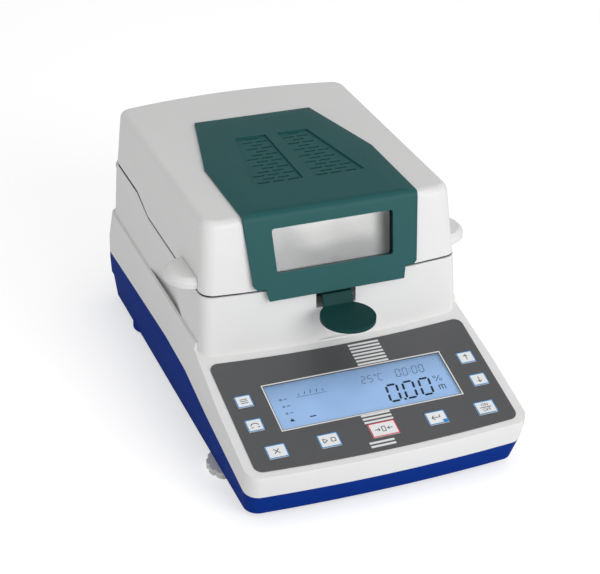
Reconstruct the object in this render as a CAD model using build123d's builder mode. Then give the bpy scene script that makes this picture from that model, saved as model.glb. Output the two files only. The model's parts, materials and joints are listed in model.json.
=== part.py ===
"""Moisture analyzer: a balance in a housing with a hinged halogen heater lid.

Millimetres. +X is the object's right seen from its front, +Y is the back, +Z is up.
The origin is on the table under the middle of the object.
"""

from build123d import *
from math import atan, cos, degrees, pi, sin
import os

# Overall size
WIDTH = 204.0
DEPTH = 336.0
HEIGHT = 167.0
HALF_W = WIDTH / 2
FOOT_GAP = 5.0
WALL = 2.8
FAR = 200.0

# Plan of the low body: bowed front and rear edges with rounded corners
BODY_FRONT = -164.0
BODY_REAR = 163.0
FRONT_BOW = 4.0
REAR_BOW = 5.0
BODY_CORNER = 10.0
NOSE_Z = 37.0
SHOULDER_Z = 76.0
SHOULDER_HALF_W = 99.0

# Underside: the tray is drafted inwards and its rear lower edge is set in
LOW_HALF_W = 98.4
LOW_FRONT = -155.1
LOW_REAR = 158.0
UNDERCUT_Z = 24.0
UNDERCUT_HALF_W = 101.2
UNDERCUT_FRONT = -161.0
SEAM = ((172, 41.6), (90, 45.2), (10, 48.0), (-35, 46.0), (-76, 37.6), (-172, 20.0))

# Keyboard deck: the overlay's top face is a tilted plane
DECK_Y = -160.1
DECK_Z = 42.2
DECK_SLOPE = 0.2613
OVERLAY_T = 0.6
OVERLAY_HALF_W = 95.2
OVERLAY_BACK = -65.2
OVERLAY_BACK_BOW = 4.2
OVERLAY_FRONT_BOW = 3.6
OVERLAY_CORNER = 6.0
DISPLAY_HALF_W = 65.6
DISPLAY_FRONT = -131.2
DISPLAY_BACK = -92.9
DISPLAY_EDGE = 2.6
DISPLAY_FIT = 0.3
PANE_T = 1.5
DECK_UNDER = -(OVERLAY_T + WALL)

# Chamber tower above the shoulder
TOWER_TOP = 112.0
BRIDGE_TOP = 119.5
BRIDGE_Y = 99.0
SLOPE_Y = 70.0
TOWER_HALF_W_LOW = 97.0
TOWER_HALF_W_TOP = 94.9
TOWER_FRONT_LOW = -57.5
TOWER_FRONT_TOP = -52.9
TOWER_BOW = 5.5
TOWER_REAR = 160.0
TOWER_CORNER = 9.0
SEAM_TOP_Z = 56.0

# Crescent recesses in the tower's sides, each behind a narrow rim of the shoulder
SCOOP_Y = 24.0
SCOOP_CHORD = 80.0
SCOOP_DEPTH = 4.0
SCOOP_FLOOR = 69.0
SCOOP_HEIGHT = 34.0
SCOOP_TAPER = 4.5

# Lid
LID_GAP = 1.6
LID_TOP = 163.7
LID_LOW_Z = 105.0
LID_HALF_W_LOW = 95.6
LID_HALF_W_TOP = 91.5
LID_FRONT_LOW = -55.0
LID_FRONT_TOP = -44.3
LID_REAR_LOW = 160.0
LID_REAR_TOP = 155.5
LID_EDGE = 5.0
EDGE_STEPS = 4
LID_CORNER = 10.0
LID_LOW_FRONT_BOW = 7.0
LID_TOP_FRONT_BOW = 2.5
LID_LOW_REAR_BOW = 4.0
LID_TOP_REAR_BOW = 9.0

# Locating rim of the tray inside the housing
RIM_FIT = 0.15
RIM_T = 1.2
RIM_H = 3.0
RIM_ROOT = 2.0

# Lid hinge
HINGE_Y = 159.5
HINGE_Z = 114.0
BEAD_R = 5.0
TROUGH_R = 6.2
BEAD_HALF = 81.0
TROUGH_HALF = 82.0
PIN_R = 2.5
PIN_FIT = 0.05
KNUCKLE_IN = 60.0
CHEEK_OUT = 93.6
CHEEK_FRONT = 150.3
CHEEK_LOW = 104.0

# Heater cover on the lid
COVER_BACK_Y = 109.0
COVER_BACK_HALF = 46.0
COVER_KINK_Y = 32.0
COVER_HALF_W = 64.3
COVER_LOW_HALF = 60.5
COVER_STEP_Z = 116.0
LIP_HALF_W = 50.5
LIP_Z = 107.0
LIP_Y = -63.5
FACE_TOP_Y = -48.5
FACE_TOP_Z = 160.0
COVER_IN_Y = -61.0
COVER_IN_TOP_Y = -44.35
COVER_EDGE = 8.0
COVER_SEAT_FIT = 0.2
STEP_IN = 2.5
STEP_RUN = 1.3
LIP_DRAFT = 0.3
BEVEL_W = 13.0
BEVEL_H = 1.8

# Window in the front of the cover
WINDOW_LOW_Z = 125.0
WINDOW_TOP_Z = 155.0
WINDOW_LOW_HALF = 43.0
WINDOW_TOP_HALF = 44.8

# Chamber, pan and its handler
PAN_Y = 6.0
WELL_HALF_W = 70.0
WELL_FRONT = -46.0
WELL_BACK = 62.0
WELL_CORNER = 12.0
WELL_FLOOR = 86.0
PAN_R = 44.5
PAN_BOTTOM = 99.0
PAN_RIM_Z = 105.8
PAN_RIM_R = 47.5
PAN_T = 0.6
RING_IN = 45.5
RING_OUT = 49.0
HANDLER_TOP = 104.5
HANDLER_T = 2.5
NECK_HALF_W = 11.0
DISC_Y = -82.0
DISC_R = 19.4
DISC_TOP = 97.0
DISC_T = 3.0
NOTCH_HALF_W = 14.8
NOTCH_Z = 94.0
NOTCH_WALL = 2.5
CHANNEL_R = 45.0
CHANNEL_Y = -60.2
CHANNEL_LOW = 68.2
CHANNEL_HALF_W = 20.0
TUB_FIT = 0.4
TUB_T = 1.0
TUB_FLANGE = 4.0
SHIELD_R = 48.0
SHIELD_T = 1.4

# Grilles and screws of the cover, heater
GRILLE_DEPTH = 1.2
GRILLE_IN = 4.5
GRILLE_FRONT = -6.0
GRILLE_BACK = 70.0
GRILLE_FRONT_HALF = 42.0
GRILLE_BACK_HALF = 28.0
SLOT_L = 8.5
SLOT_W = 1.6
SLOT_ROWS = 14
SLOT_PITCH_X = 11.0
SLOT_PITCH_Y = 5.4
COVER_SCREWS = ((-38, 90), (38, 90), (-53, -34), (53, -34))
GUARD_Z = 117.0
REFLECTOR_HALF_W = 70.0
REFLECTOR_FRONT = -44.0
REFLECTOR_BACK = 60.0
REFLECTOR_TOP = 150.0
REFLECTOR_T = 1.0
LINER_Z = 115.0
LINER_T = 2.0
LAMP_Y = (-12, 26)
LAMP_Z = 137.0
LAMP_R = 5.0
LAMP_HALF = 56.0
LAMP_SOCKET = 16.0
SOCKET_IN = 54.0

# Side grips
GRIP_Y = -24.0
GRIP_R = 19.0
GRIP_LOW = 114.2
GRIP_T = 7.5
GRIP_ROOT_X = 93.5
GRIP_EDGE = 3.0

# Keys: name, centre on the deck (x, y), size (across, along the slope)
KEYS = (
    ("menu_key", -82.5, -101.9, 11.4, 10.4),
    ("program_key", -82.5, -122.9, 11.4, 10.4),
    ("escape_key", -76.0, -147.0, 14.0, 11.2),
    ("start_stop_key", -39.0, -147.0, 14.6, 11.4),
    ("tare_key", 0.3, -147.0, 19.6, 12.0),
    ("enter_key", 39.5, -147.0, 14.6, 11.2),
    ("on_off_key", 76.5, -147.0, 14.6, 11.2),
    ("up_key", 83.2, -101.8, 11.8, 10.4),
    ("down_key", 83.2, -122.8, 11.8, 10.4),
)
KEY_FIT = 0.3
KEY_PROUD = 0.3
KEY_FLANGE = 1.0

# Feet
FOOT_X = 88.0
FOOT_Y = -92.5
FOOT_R = 17.0
FOOT_WHEEL_H = 4.6
FOOT_BOSS_R = 7.0
FOOT_BOSS_TOP = 22.0
FOOT_NOTCHES = 12
FOOT_NOTCH_R = 2.6
STUD_R = 3.0
STUD_TOP = 16.0
STUD_BORE_TOP = 18.0
REAR_FOOT_X = 84.0
REAR_FOOT_Y = 101.0
REAR_FOOT_R = 15.5
REAR_BOSS_LOW = 1.5
REAR_BOSS_TOP = 14.0
PAD_R = 13.0
PAD_T = 3.0

# Load cell and electronics
CELL_W = 15.0
CELL_Z = 46.0
CELL_H = 22.0
CELL_FRONT = -4.0
CELL_BACK = 82.0
CELL_HOLE_R = 8.2
CELL_HOLE_STEP = 22.0
CELL_PLINTH_HALF = 13.0
CELL_PLINTH_FRONT = 62.0
CELL_PLINTH_TOP = 40.0
TRAY_FLOOR = FOOT_GAP + WALL
VENT_L = 26.0
VENT_W = 3.0
VENT_PITCH = 9.0
VENT_COUNT = 9
VENT_Y = 118.0
BOARD_Z = 14.0
BOARD_T = 1.6
BOARD_POSTS = tuple((x, y) for x in (-62, 62) for y in (-48, 28, 88, 144))
BOARD_TOP = BOARD_Z + BOARD_T
POST_SIDES = 12
SCREW_SIDES = 8
SCREW_R = 1.25
CASING_POSTS = ((-78, -70), (78, -70), (-84, 138), (84, 138))
CASING_SCREW_R = 1.75
CASING_HEAD_R = 3.4
CASING_SEAT = 9.0
COLUMN_LOW = 12.0
COLUMN_R = 4.0

# Rear connectors
INLET_X = 47.0
INLET_Z = 60.0
SOCKET_X = 40.0
DRAWER_X = 63.0
PORT_X = -2.0
RECESS_X = (-20.0, 76.0)
RECESS_Z = (48.0, 72.0)
RECESS_Y = 163.2
RECESS_WALL = 2.0
INLET_W = 46.6
INLET_H = 21.6
SOCKET_W = 24.6
SOCKET_H = 16.6
DRAWER_W = 11.4
DRAWER_H = 17.4
PORT_W = 18.6
PORT_H = 10.6
CONNECTOR_FIT = 0.2

# Spirit level and display board
LEVEL_X = 82.0
LEVEL_Y = -34.0
LEVEL_R = 6.0
LEVEL_LOW = 104.0
LEVEL_RIM = 1.5
BOARD_HIGH = -8.0
SPACER_X = 87.0
SPACER_S = (8.0, 72.0)

os.makedirs("parts", exist_ok=True)
built = []


def keep(part, label):
    """Name a finished piece and write its file."""
    part.label = label
    export_step(part, f"parts/{label}.step")
    built.append(label)


def plan(half_width, y_front, y_rear, bow_front, bow_rear, corner):
    """Plan outline with bowed front and rear edges and rounded corners."""
    with BuildSketch() as shape:
        with BuildLine():
            Line((half_width, y_front), (half_width, y_rear))
            ThreePointArc((half_width, y_rear), (0, y_rear + bow_rear), (-half_width, y_rear))
            Line((-half_width, y_rear), (-half_width, y_front))
            ThreePointArc((-half_width, y_front), (0, y_front - bow_front), (half_width, y_front))
        make_face()
        fillet(shape.vertices(), corner)
    return shape.sketch


def side_slab(points, half_width=130.0):
    """Solid with the given outline in the YZ plane, spread evenly over X."""
    with BuildPart() as slab:
        with BuildSketch(Plane.YZ):
            with BuildLine():
                Polyline(*points, close=True)
            make_face()
        extrude(amount=half_width, both=True)
    return slab.part


def block(x0, x1, y0, y1, z0, z1):
    """Plain block between two corners."""
    with BuildPart() as solid:
        with BuildSketch(Plane.XY.offset(z0)):
            with Locations(((x0 + x1) / 2, (y0 + y1) / 2)):
                Rectangle(x1 - x0, y1 - y0)
        extrude(amount=z1 - z0)
    return solid.part


def stack(sections):
    """Loft through plan outlines, one straight stage between each pair of heights."""
    with BuildPart() as body:
        for (z_low, low), (z_high, high) in zip(sections, sections[1:]):
            with BuildSketch(Plane.XY.offset(z_low)):
                add(plan(*low))
            with BuildSketch(Plane.XY.offset(z_high)):
                add(plan(*high))
            loft()
    return body.part


# Planes of the tilted deck and of the cover's front face
DECK = Plane(
    origin=(0, DECK_Y, DECK_Z),
    x_dir=(1, 0, 0),
    z_dir=(0, -sin(atan(DECK_SLOPE)), cos(atan(DECK_SLOPE))),
)
DECK_COS = DECK.z_dir.Z
FACE_SLOPE = atan((FACE_TOP_Y - LIP_Y) / (FACE_TOP_Z - LIP_Z))
FACE = Plane(
    origin=(0, LIP_Y, LIP_Z),
    x_dir=(1, 0, 0),
    z_dir=(0, -cos(FACE_SLOPE), sin(FACE_SLOPE)),
)


def along_deck(y):
    """Distance up the deck's slope of a point with this y."""
    return (y - DECK_Y) / DECK_COS


def up_face(z):
    """Distance up the cover's front face of a point at this height."""
    return (z - LIP_Z) / cos(FACE_SLOPE)


def seam_slab(rise):
    """Everything under the seam between tray and housing, raised by rise."""
    top = [(y, z + rise) for y, z in SEAM]
    return side_slab(top + [(-FAR, top[-1][1] - 5), (-FAR, -FAR), (FAR, -FAR), (FAR, top[0][1])])


def parting_slab(rise):
    """Everything under the lid's parting line, raised by rise."""
    low_z = TOWER_TOP + rise
    high_z = BRIDGE_TOP + rise
    line = ((-FAR, low_z), (SLOPE_Y, low_z), (BRIDGE_Y, high_z), (FAR, high_z))
    return side_slab(line + ((FAR, -FAR), (-FAR, -FAR)))


def finger_scoop(side, inset):
    """Crescent recess in the tower's side that fades out upwards, deepest at the shoulder."""
    radius = ((SCOOP_CHORD / 2) ** 2 + SCOOP_DEPTH**2) / (2 * SCOOP_DEPTH)
    centre_x = side * (TOWER_HALF_W_LOW - SCOOP_DEPTH + radius)
    rim_x = side * (TOWER_HALF_W_LOW + inset)
    low_z = SCOOP_FLOOR - inset
    with BuildPart() as scoop:
        with BuildSketch(Plane.XY.offset(low_z)):
            with Locations((centre_x, SCOOP_Y)):
                Circle(radius + inset)
        extrude(amount=SCOOP_HEIGHT + inset, taper=SCOOP_TAPER)
        add(block(min(0, rim_x), max(0, rim_x), -FAR, FAR, low_z, FAR), mode=Mode.INTERSECT)
    return scoop.part


def low_body(inset):
    """Form of tray and housing together up to the shoulder, inset evenly for the inside."""

    def section(half_width, front, rear, bow=REAR_BOW):
        return (half_width - inset, front + inset, rear - inset, FRONT_BOW, bow, BODY_CORNER - inset)

    step_z = UNDERCUT_Z + inset
    lower = stack(
        (
            (FOOT_GAP + inset, section(LOW_HALF_W, LOW_FRONT, LOW_REAR, 0.5)),
            (step_z, section(UNDERCUT_HALF_W, UNDERCUT_FRONT, LOW_REAR, 0.5)),
        )
    )
    upper = stack(
        (
            (step_z, section(UNDERCUT_HALF_W, UNDERCUT_FRONT, BODY_REAR)),
            (NOSE_Z, section(HALF_W, BODY_FRONT, BODY_REAR)),
            (SEAM_TOP_Z, section(HALF_W, BODY_FRONT, BODY_REAR)),
            (SHOULDER_Z - inset, section(SHOULDER_HALF_W, BODY_FRONT, BODY_REAR)),
        )
    )
    with BuildPart() as body:
        add(lower)
        add(upper)
    return body.part


def tower(inset):
    """Form of the chamber tower above the shoulder, inset evenly for the inside."""

    def section(half_width, front):
        return (half_width - inset, front + inset, TOWER_REAR - inset, TOWER_BOW, REAR_BOW, TOWER_CORNER - inset)

    return stack(
        (
            (SEAM_TOP_Z, section(TOWER_HALF_W_LOW, TOWER_FRONT_LOW)),
            (SHOULDER_Z, section(TOWER_HALF_W_LOW, TOWER_FRONT_LOW)),
            (BRIDGE_TOP, section(TOWER_HALF_W_TOP, TOWER_FRONT_TOP)),
        )
    )


def deck_cut(depth):
    """Everything above the deck's surface in front of the tower, lowered by depth."""
    back_y = TOWER_FRONT_LOW + 8.0
    low_z = DECK_Z - (OVERLAY_T + depth) / DECK_COS
    front_z = low_z + (-FAR - DECK_Y) * DECK_SLOPE
    back_z = low_z + (back_y - DECK_Y) * DECK_SLOPE
    return side_slab(((-FAR, front_z), (back_y, back_z), (back_y, FAR), (-FAR, FAR)))


def housing_form(inset):
    """Form of the whole casing under the lid, inset evenly for the inside."""
    with BuildPart() as form:
        add(low_body(inset))
        add(deck_cut(inset), mode=Mode.SUBTRACT)
        add(tower(inset))
        add(parting_slab(-inset), mode=Mode.INTERSECT)
        for side in (-1, 1):
            add(finger_scoop(side, inset), mode=Mode.SUBTRACT)
    return form.part


def lid_section(z, inset):
    """Plan outline of the lid at a height: its sides lean inwards and its front leans back."""
    share = (z - LID_LOW_Z) / (LID_TOP - LID_LOW_Z)

    def mix(low, top):
        return low + (top - low) * share

    return (
        mix(LID_HALF_W_LOW, LID_HALF_W_TOP) - inset,
        mix(LID_FRONT_LOW, LID_FRONT_TOP) + inset,
        mix(LID_REAR_LOW, LID_REAR_TOP) - inset,
        mix(LID_LOW_FRONT_BOW, LID_TOP_FRONT_BOW),
        mix(LID_LOW_REAR_BOW, LID_TOP_REAR_BOW),
        LID_CORNER - inset,
    )


def lid_form(inset, edge=0.0):
    """Form of the lid, inset evenly for the inside, its top edge rounded in steps."""
    top = LID_TOP - inset
    sections = [(LID_LOW_Z, lid_section(LID_LOW_Z, inset))]
    if edge:
        for step in range(EDGE_STEPS + 1):
            turn = pi / 2 * step / EDGE_STEPS
            z = top - edge * (1 - sin(turn))
            sections.append((z, lid_section(z, inset + edge * (1 - cos(turn)))))
    else:
        sections.append((top, lid_section(top, inset)))
    return stack(sections)


def tube_x(radius, x0, x1, y, z):
    """Cylinder along X between two stations."""
    with BuildPart() as rod:
        with BuildSketch(Plane(origin=(x0, y, z), x_dir=(0, 1, 0), z_dir=(1, 0, 0))):
            Circle(radius)
        extrude(amount=x1 - x0)
    return rod.part


def disc(x, y, z0, z1, radius, bore=0.0):
    """Upright disc or ring."""
    with BuildPart() as solid:
        with BuildSketch(Plane.XY.offset(z0)):
            with Locations((x, y)):
                Circle(radius)
                if bore:
                    Circle(bore, mode=Mode.SUBTRACT)
        extrude(amount=z1 - z0)
    return solid.part


def post(x, y, z0, z1, radius, sides=POST_SIDES):
    """Upright many-sided post or screw."""
    with BuildPart() as solid:
        with BuildSketch(Plane.XY.offset(z0)):
            with Locations((x, y)):
                RegularPolygon(radius, sides)
        extrude(amount=z1 - z0)
    return solid.part


def deck_block(x0, x1, s0, s1, low, high, corner=0.0):
    """Block square to the deck: s runs up the slope, low and high are above the overlay."""
    with BuildPart() as solid:
        with BuildSketch(DECK.offset(low)) as shape:
            with Locations(((x0 + x1) / 2, (s0 + s1) / 2)):
                Rectangle(x1 - x0, s1 - s0)
            if corner:
                fillet(shape.vertices(), corner)
        extrude(amount=high - low)
    return solid.part


def key_block(key, grow, low, high, corner=0.0):
    """Block square to the deck on a key's outline, grown evenly."""
    name, x, y, across, along = key
    s = along_deck(y)
    half_x = across / 2 + grow
    half_s = along / 2 + grow
    return deck_block(x - half_x, x + half_x, s - half_s, s + half_s, low, high, corner)


def display_block(grow, low, high, corner=0.0):
    """Block square to the deck on the display's outline, grown evenly."""
    half_x = DISPLAY_HALF_W + grow
    s_low = along_deck(DISPLAY_FRONT) - grow
    s_high = along_deck(DISPLAY_BACK) + grow
    return deck_block(-half_x, half_x, s_low, s_high, low, high, corner)


def rear_block(x, width, height, y0, y1):
    """Block on the rear connectors' height, centred on x."""
    return block(x - width / 2, x + width / 2, y0, y1, INLET_Z - height / 2, INLET_Z + height / 2)


def face_trapezoid(low_half, top_half, s0, s1, outer, inner, corner):
    """Trapezoid block square to the cover's face, from outer to inner distance off it."""
    with BuildPart() as solid:
        with BuildSketch(FACE.offset(inner)) as shape:
            with BuildLine():
                Polyline((-low_half, s0), (low_half, s0), (top_half, s1), (-top_half, s1), close=True)
            make_face()
            fillet(shape.vertices(), corner)
        extrude(amount=outer - inner)
    return solid.part


def well(inset, z0, z1):
    """Rounded rectangular prism on the chamber's opening."""
    with BuildPart() as prism:
        with BuildSketch(Plane.XY.offset(z0)) as shape:
            with Locations((0, (WELL_FRONT + WELL_BACK) / 2)):
                Rectangle(2 * (WELL_HALF_W - inset), WELL_BACK - WELL_FRONT - 2 * inset)
            fillet(shape.vertices(), WELL_CORNER - inset)
        extrude(amount=z1 - z0)
    return prism.part


def cover_slope(z, extra=0.0):
    """Y of the cover's inner face at this height."""
    return COVER_IN_Y + (z - LIP_Z) * (COVER_IN_TOP_Y - COVER_IN_Y) / (LID_TOP - LIP_Z) - extra


def face_outline(grow):
    """Prism along Y with the outline of the cover as seen from the front."""
    step_z = COVER_STEP_Z - 0.5 - grow
    half = (
        (COVER_HALF_W + grow, FAR),
        (COVER_HALF_W + grow, LID_TOP),
        (COVER_LOW_HALF + grow, COVER_STEP_Z + 2),
        (COVER_LOW_HALF - STEP_IN + grow, step_z),
        (LIP_HALF_W + STEP_RUN + grow, step_z),
        (LIP_HALF_W - LIP_DRAFT + grow, LIP_Z - grow),
    )
    mirrored = tuple((-x, z) for x, z in reversed(half))
    with BuildPart() as prism:
        with BuildSketch(Plane.XZ):
            with BuildLine():
                Polyline(*half, *mirrored, close=True)
            make_face()
        extrude(amount=FAR, both=True)
    return prism.part


def cover_plan(inset):
    """Six-sided plan of the cover's top, inset on its sides and back.

    The corners of the slanted sides move along with the inset of both neighbours.
    """
    half = (
        (COVER_HALF_W - inset, -90),
        (COVER_HALF_W - inset, COVER_KINK_Y - 0.12 * inset),
        (COVER_BACK_HALF - 0.8 * inset, COVER_BACK_Y - inset),
    )
    mirrored = tuple((-x, y) for x, y in reversed(half))
    with BuildSketch() as shape:
        with BuildLine():
            Polyline(*half, *mirrored, close=True)
        make_face()
    return shape.sketch


def cover_envelope():
    """Prism on the cover's plan with wide bevels on the sides and back of its top."""
    bevel_z = HEIGHT - BEVEL_H
    with BuildPart() as prism:
        with BuildSketch(Plane.XY.offset(LIP_Z - 5)):
            add(cover_plan(0))
        extrude(amount=bevel_z - LIP_Z + 5)
        with BuildSketch(Plane.XY.offset(bevel_z)):
            add(cover_plan(0))
        with BuildSketch(Plane.XY.offset(HEIGHT)):
            add(cover_plan(BEVEL_W))
        loft()
    return prism.part


# Casing under the lid
casing_out = housing_form(0)
casing_in = housing_form(WALL)

with BuildPart() as base_tray:
    add(casing_out)
    add(casing_in, mode=Mode.SUBTRACT)
    add(seam_slab(0), mode=Mode.INTERSECT)
    # Locating rim that reaches up inside the housing
    rim_inner = housing_form(WALL + RIM_FIT + RIM_T)
    add((casing_in - rim_inner) & (seam_slab(0) - seam_slab(-RIM_ROOT)))
    add((housing_form(WALL + RIM_FIT) - rim_inner) & (seam_slab(RIM_H) - seam_slab(-RIM_ROOT)))
    # Round bosses over the rear feet, proud of the drafted sides
    for side in (-1, 1):
        x = side * REAR_FOOT_X
        add(disc(x, REAR_FOOT_Y, REAR_BOSS_LOW, REAR_BOSS_TOP, REAR_FOOT_R))
        add(disc(x, REAR_FOOT_Y, REAR_BOSS_LOW, PAD_T, PAD_R), mode=Mode.SUBTRACT)
    # Threaded bosses of the levelling feet
    for side in (-1, 1):
        add(disc(side * FOOT_X, FOOT_Y, FOOT_GAP, FOOT_BOSS_TOP, FOOT_BOSS_R) & casing_out)
        add(disc(side * FOOT_X, FOOT_Y, 0, STUD_BORE_TOP, STUD_R + PIN_FIT), mode=Mode.SUBTRACT)
    # Posts under the boards and the load cell's foot
    for x, y in BOARD_POSTS:
        add(post(x, y, TRAY_FLOOR, BOARD_Z, 3.5))
        add(post(x, y, TRAY_FLOOR, BOARD_Z + 1, SCREW_R, SCREW_SIDES), mode=Mode.SUBTRACT)
    plinth = CELL_PLINTH_HALF
    add(block(-plinth, plinth, CELL_PLINTH_FRONT, CELL_BACK, TRAY_FLOOR, CELL_PLINTH_TOP))
    # Bosses and counterbores of the casing screws
    for x, y in CASING_POSTS:
        add(post(x, y, TRAY_FLOOR, COLUMN_LOW, COLUMN_R + 1.5))
        add(disc(x, y, 0, CASING_SEAT, CASING_HEAD_R + 0.4), mode=Mode.SUBTRACT)
        add(post(x, y, 0, 20.0, CASING_SCREW_R + 0.2, SCREW_SIDES), mode=Mode.SUBTRACT)
    # Ventilation slots in the floor
    with BuildSketch():
        with Locations((0, VENT_Y)):
            with GridLocations(VENT_PITCH, 0, VENT_COUNT, 1):
                Rectangle(VENT_W, VENT_L)
    extrude(amount=COLUMN_LOW, mode=Mode.SUBTRACT)
keep(base_tray.part, "base_tray")

with BuildPart() as upper_housing:
    add(casing_out)
    add(casing_in, mode=Mode.SUBTRACT)
    add(seam_slab(0), mode=Mode.SUBTRACT)
    # Solid zone across the rear that the hinge trough is cut from
    add(block(-CHEEK_OUT, CHEEK_OUT, CHEEK_FRONT, FAR, CHEEK_LOW, BRIDGE_TOP) & casing_out)
    # Columns that take the casing screws
    for x, y in CASING_POSTS:
        add(post(x, y, COLUMN_LOW, BRIDGE_TOP, COLUMN_R) & casing_out)
        add(post(x, y, 0, COLUMN_LOW + 18, CASING_SCREW_R, SCREW_SIDES), mode=Mode.SUBTRACT)
    # Spacers that carry the display board
    for x in (-SPACER_X, SPACER_X):
        for s in SPACER_S:
            add(deck_block(x - 2, x + 2, s - 2, s + 2, BOARD_HIGH, DECK_UNDER + 0.5))
    # Shallow channel down the front wall
    half = CHANNEL_HALF_W
    add(block(-half, half, -66, -53, CHANNEL_LOW - 8.2, NOTCH_Z) & casing_out)
    add(disc(0, CHANNEL_Y - CHANNEL_R, CHANNEL_LOW, FAR, CHANNEL_R), mode=Mode.SUBTRACT)
    # Channel that leads the handler's neck through the front wall
    half = NOTCH_HALF_W + NOTCH_WALL
    add(block(-half, half, -64, WELL_FRONT, NOTCH_Z - NOTCH_WALL, TOWER_TOP) & casing_out)
    add(block(-NOTCH_HALF_W, NOTCH_HALF_W, -75, WELL_FRONT + 6, NOTCH_Z, FAR), mode=Mode.SUBTRACT)
    add(well(0, 100, FAR), mode=Mode.SUBTRACT)
    # Thickened wall and flat recess for the rear connectors
    x0, x1 = RECESS_X
    z0, z1 = RECESS_Z
    wall = RECESS_WALL
    add(block(x0 - wall, x1 + wall, TOWER_REAR - 0.6, 166, z0 - wall, z1 + wall) & casing_out)
    add(block(x0, x1, RECESS_Y, FAR, z0, z1), mode=Mode.SUBTRACT)
    for x, width, height in ((INLET_X, INLET_W, INLET_H), (PORT_X, PORT_W, PORT_H)):
        opening = rear_block(x, width + 2 * CONNECTOR_FIT, height + 2 * CONNECTOR_FIT, 150, FAR)
        add(opening, mode=Mode.SUBTRACT)
    # Hinge trough, open upwards and to the rear, and the bores for the pins
    add(tube_x(TROUGH_R, -TROUGH_HALF, TROUGH_HALF, HINGE_Y, HINGE_Z), mode=Mode.SUBTRACT)
    for y, z in ((HINGE_Y - TROUGH_R, HINGE_Z), (HINGE_Y, HINGE_Z - TROUGH_R)):
        add(block(-TROUGH_HALF, TROUGH_HALF, y, FAR, z, FAR), mode=Mode.SUBTRACT)
    add(tube_x(PIN_R, -CHEEK_OUT, CHEEK_OUT, HINGE_Y, HINGE_Z), mode=Mode.SUBTRACT)
    # Deck openings for the display and the keys
    add(display_block(DISPLAY_EDGE + DISPLAY_FIT, -12, 6), mode=Mode.SUBTRACT)
    for key in KEYS:
        add(key_block(key, KEY_FIT, -12, 6), mode=Mode.SUBTRACT)
    # Hole for the spirit level in the chamber's rim
    add(disc(LEVEL_X, LEVEL_Y, 100, FAR, LEVEL_R + 0.1), mode=Mode.SUBTRACT)
keep(upper_housing.part, "upper_housing")

with BuildPart() as panel_overlay:
    with BuildSketch(DECK.offset(-OVERLAY_T)) as film:
        s_back = along_deck(OVERLAY_BACK)
        with BuildLine():
            Line((OVERLAY_HALF_W, 0), (OVERLAY_HALF_W, s_back))
            ThreePointArc((OVERLAY_HALF_W, s_back), (0, s_back - OVERLAY_BACK_BOW), (-OVERLAY_HALF_W, s_back))
            Line((-OVERLAY_HALF_W, s_back), (-OVERLAY_HALF_W, 0))
            ThreePointArc((-OVERLAY_HALF_W, 0), (0, -OVERLAY_FRONT_BOW), (OVERLAY_HALF_W, 0))
        make_face()
        fillet(film.vertices(), OVERLAY_CORNER)
    extrude(amount=OVERLAY_T)
    add(display_block(0, -2, 2, 1.0), mode=Mode.SUBTRACT)
    for key in KEYS:
        add(key_block(key, KEY_FIT, -2, 2), mode=Mode.SUBTRACT)
keep(panel_overlay.part, "panel_overlay")

for key in KEYS:
    with BuildPart() as cap:
        add(key_block(key, 0, DECK_UNDER - 1.0, KEY_PROUD, 0.8))
        add(key_block(key, KEY_FLANGE, DECK_UNDER - 1.2, DECK_UNDER - 0.2))
    keep(cap.part, key[0])

# Display and its board under the deck
with BuildPart() as display_window:
    add(display_block(DISPLAY_EDGE, -OVERLAY_T - PANE_T, -OVERLAY_T))
keep(display_window.part, "display_window")

with BuildPart() as display_module:
    add(display_block(2.0, BOARD_HIGH + 0.2, -OVERLAY_T - PANE_T - 0.3))
keep(display_module.part, "display_module")

with BuildPart() as display_board:
    add(deck_block(-90, 90, 4, 76, BOARD_HIGH - BOARD_T, BOARD_HIGH))
keep(display_board.part, "display_board")

with BuildPart() as key_switches:
    plunger_low = DECK_UNDER - 2.6
    for name, x, y, across, along in KEYS:
        s = along_deck(y)
        add(deck_block(x - 3, x + 3, s - 3, s + 3, BOARD_HIGH, plunger_low))
        with BuildSketch(DECK.offset(plunger_low)):
            with Locations((x, s)):
                RegularPolygon(1.7, SCREW_SIDES)
        extrude(amount=0.8)
keep(key_switches.part, "key_switches")

# Chamber
with BuildPart() as chamber_tub:
    inner = TUB_FIT + TUB_T
    flange_top = TOWER_TOP + TUB_T
    add(well(TUB_FIT, WELL_FLOOR, flange_top))
    add(well(inner, WELL_FLOOR + TUB_T, FAR), mode=Mode.SUBTRACT)
    add(well(-TUB_FLANGE, TOWER_TOP, flange_top) - well(inner, TOWER_TOP, FAR))
    add(block(-NOTCH_HALF_W, NOTCH_HALF_W, -75, WELL_FRONT + 8, NOTCH_Z, FAR), mode=Mode.SUBTRACT)
    add(disc(0, PAN_Y, WELL_FLOOR, WELL_FLOOR + TUB_T, 7.0), mode=Mode.SUBTRACT)
keep(chamber_tub.part, "chamber_tub")

with BuildPart() as draft_shield:
    shield_low = WELL_FLOOR + TUB_T
    add(disc(0, PAN_Y, shield_low, HANDLER_TOP - HANDLER_T, SHIELD_R, SHIELD_R - SHIELD_T))
    add(disc(0, PAN_Y, shield_low, shield_low + 0.8, SHIELD_R, 9.0))
keep(draft_shield.part, "draft_shield")

with BuildPart() as pan_support:
    add(disc(0, PAN_Y, CELL_Z + CELL_H + 0.6, PAN_BOTTOM - 2.2, 2.6))
    add(disc(0, PAN_Y, PAN_BOTTOM - 5.0, PAN_BOTTOM, 5.0))
    with BuildSketch(Plane.XY.offset(PAN_BOTTOM - 2.0)):
        with Locations((0, PAN_Y)):
            with PolarLocations(17, 4, start_angle=45):
                SlotOverall(34, 4)
    extrude(amount=2.0)
keep(pan_support.part, "pan_support")

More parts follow.
